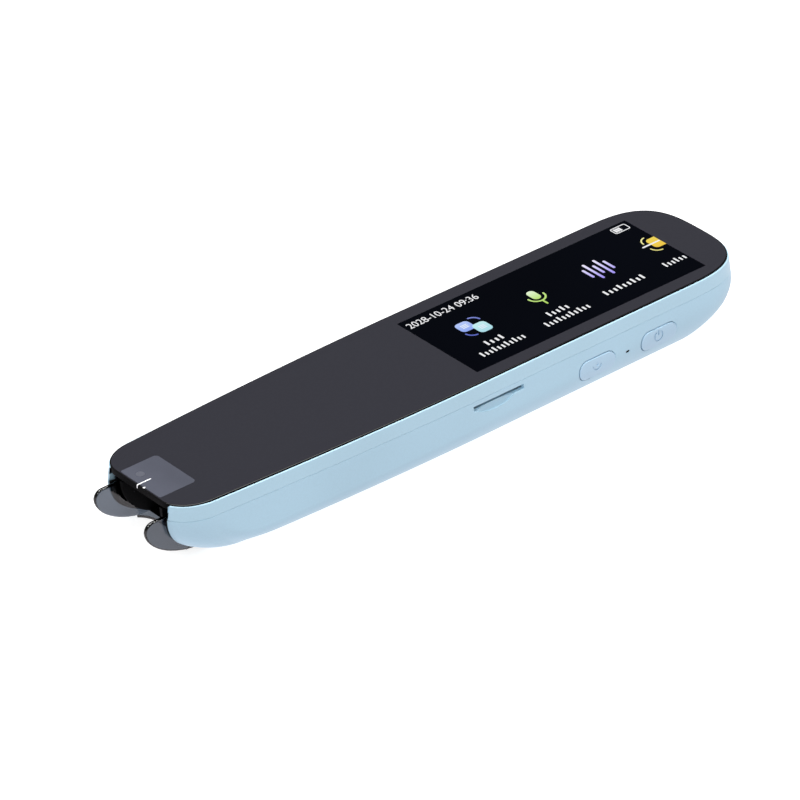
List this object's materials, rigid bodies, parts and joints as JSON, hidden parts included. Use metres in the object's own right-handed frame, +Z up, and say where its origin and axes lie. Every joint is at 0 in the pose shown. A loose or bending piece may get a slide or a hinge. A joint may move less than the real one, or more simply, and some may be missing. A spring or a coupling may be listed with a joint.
{
  "type": "scanning pen",
  "caption": "Flat hand-held scanning pen with a full-length cover glass, a display under its tail half, and an open reading mouth between two smoked guard ears.",
  "frame": {"origin": "on the flat underside, at the middle of the housing's length and width", "axes": "+X from the reading tip to the tail, +Z up through the display, -Y the side with the keys"},
  "size_m": [0.1558, 0.0345, 0.014],
  "materials": {
    "lower_shell": "satin",
    "upper_frame": "satin",
    "cover_glass": "polished, black ink behind",
    "display_panel": "gloss",
    "display_backlight": "satin",
    "nose_guard": "smoked clear",
    "scan_shroud": "satin",
    "sight_window": "clear",
    "lamp_board": "solder mask",
    "lamp_near": "satin",
    "lamp_far": "satin",
    "light_bar": "frosted",
    "lens_barrel": "satin",
    "lens_holder": "satin",
    "camera_board": "solder mask",
    "scan_switch": "satin",
    "scan_switch_pin": "satin",
    "power_key": "satin",
    "power_switch": "satin",
    "power_switch_pin": "satin",
    "function_key": "satin",
    "function_switch": "satin",
    "function_switch_pin": "satin",
    "mic_boot": "matte",
    "microphone": "satin",
    "sound_mesh": "fine weave",
    "speaker": "satin",
    "battery_foam": "matte foam",
    "battery_cell": "foil pouch",
    "protection_board": "tape",
    "battery_plug": "satin",
    "battery_lead_red": "satin",
    "battery_lead_black": "satin",
    "main_board": "solder mask",
    "processor": "matte",
    "memory_chip": "matte",
    "power_chip": "matte",
    "radio_shield": "satin",
    "board_screw_1": "satin",
    "board_screw_2": "satin",
    "board_screw_3": "satin",
    "socket_shell": "satin",
    "socket_tongue": "satin",
    "antenna": "film",
    "display_flex": "film",
    "camera_flex": "film"
  },
  "bodies": {
    "housing": {"lower_shell": "lower_shell", "upper_frame": "upper_frame", "cover_glass": "cover_glass", "display_panel": "display_panel", "display_backlight": "display_backlight", "scan_shroud": "scan_shroud", "sight_window": "sight_window", "lamp_board": "lamp_board", "lamp_near": "lamp_near", "lamp_far": "lamp_far", "light_bar": "light_bar", "lens_barrel": "lens_barrel", "lens_holder": "lens_holder", "camera_board": "camera_board", "scan_switch": "scan_switch", "power_switch": "power_switch", "function_switch": "function_switch", "mic_boot": "mic_boot", "microphone": "microphone", "sound_mesh": "sound_mesh", "speaker": "speaker", "battery_foam": "battery_foam", "battery_cell": "battery_cell", "protection_board": "protection_board", "battery_plug": "battery_plug", "battery_lead_red": "battery_lead_red", "battery_lead_black": "battery_lead_black", "main_board": "main_board", "processor": "processor", "memory_chip": "memory_chip", "power_chip": "power_chip", "radio_shield": "radio_shield", "board_screw_1": "board_screw_1", "board_screw_2": "board_screw_2", "board_screw_3": "board_screw_3", "socket_shell": "socket_shell", "socket_tongue": "socket_tongue", "antenna": "antenna", "display_flex": "display_flex", "camera_flex": "camera_flex"},
    "guard": {"nose_guard": "nose_guard", "scan_switch_pin": "scan_switch_pin"},
    "power": {"power_key": "power_key", "power_switch_pin": "power_switch_pin"},
    "function": {"function_key": "function_key", "function_switch_pin": "function_switch_pin"}
  },
  "joints": [
    {"name": "guard_press", "type": "slide", "parent": "housing", "child": "guard", "axis": [1, 0, 0], "range_m": [0, 0.0005], "stiffness_N_per_m": 400},
    {"name": "power_press", "type": "slide", "parent": "housing", "child": "power", "axis": [0, 1, 0], "range_m": [0, 0.00025], "stiffness_N_per_m": 400},
    {"name": "function_press", "type": "slide", "parent": "housing", "child": "function", "axis": [0, 1, 0], "range_m": [0, 0.00025], "stiffness_N_per_m": 400}
  ]
}
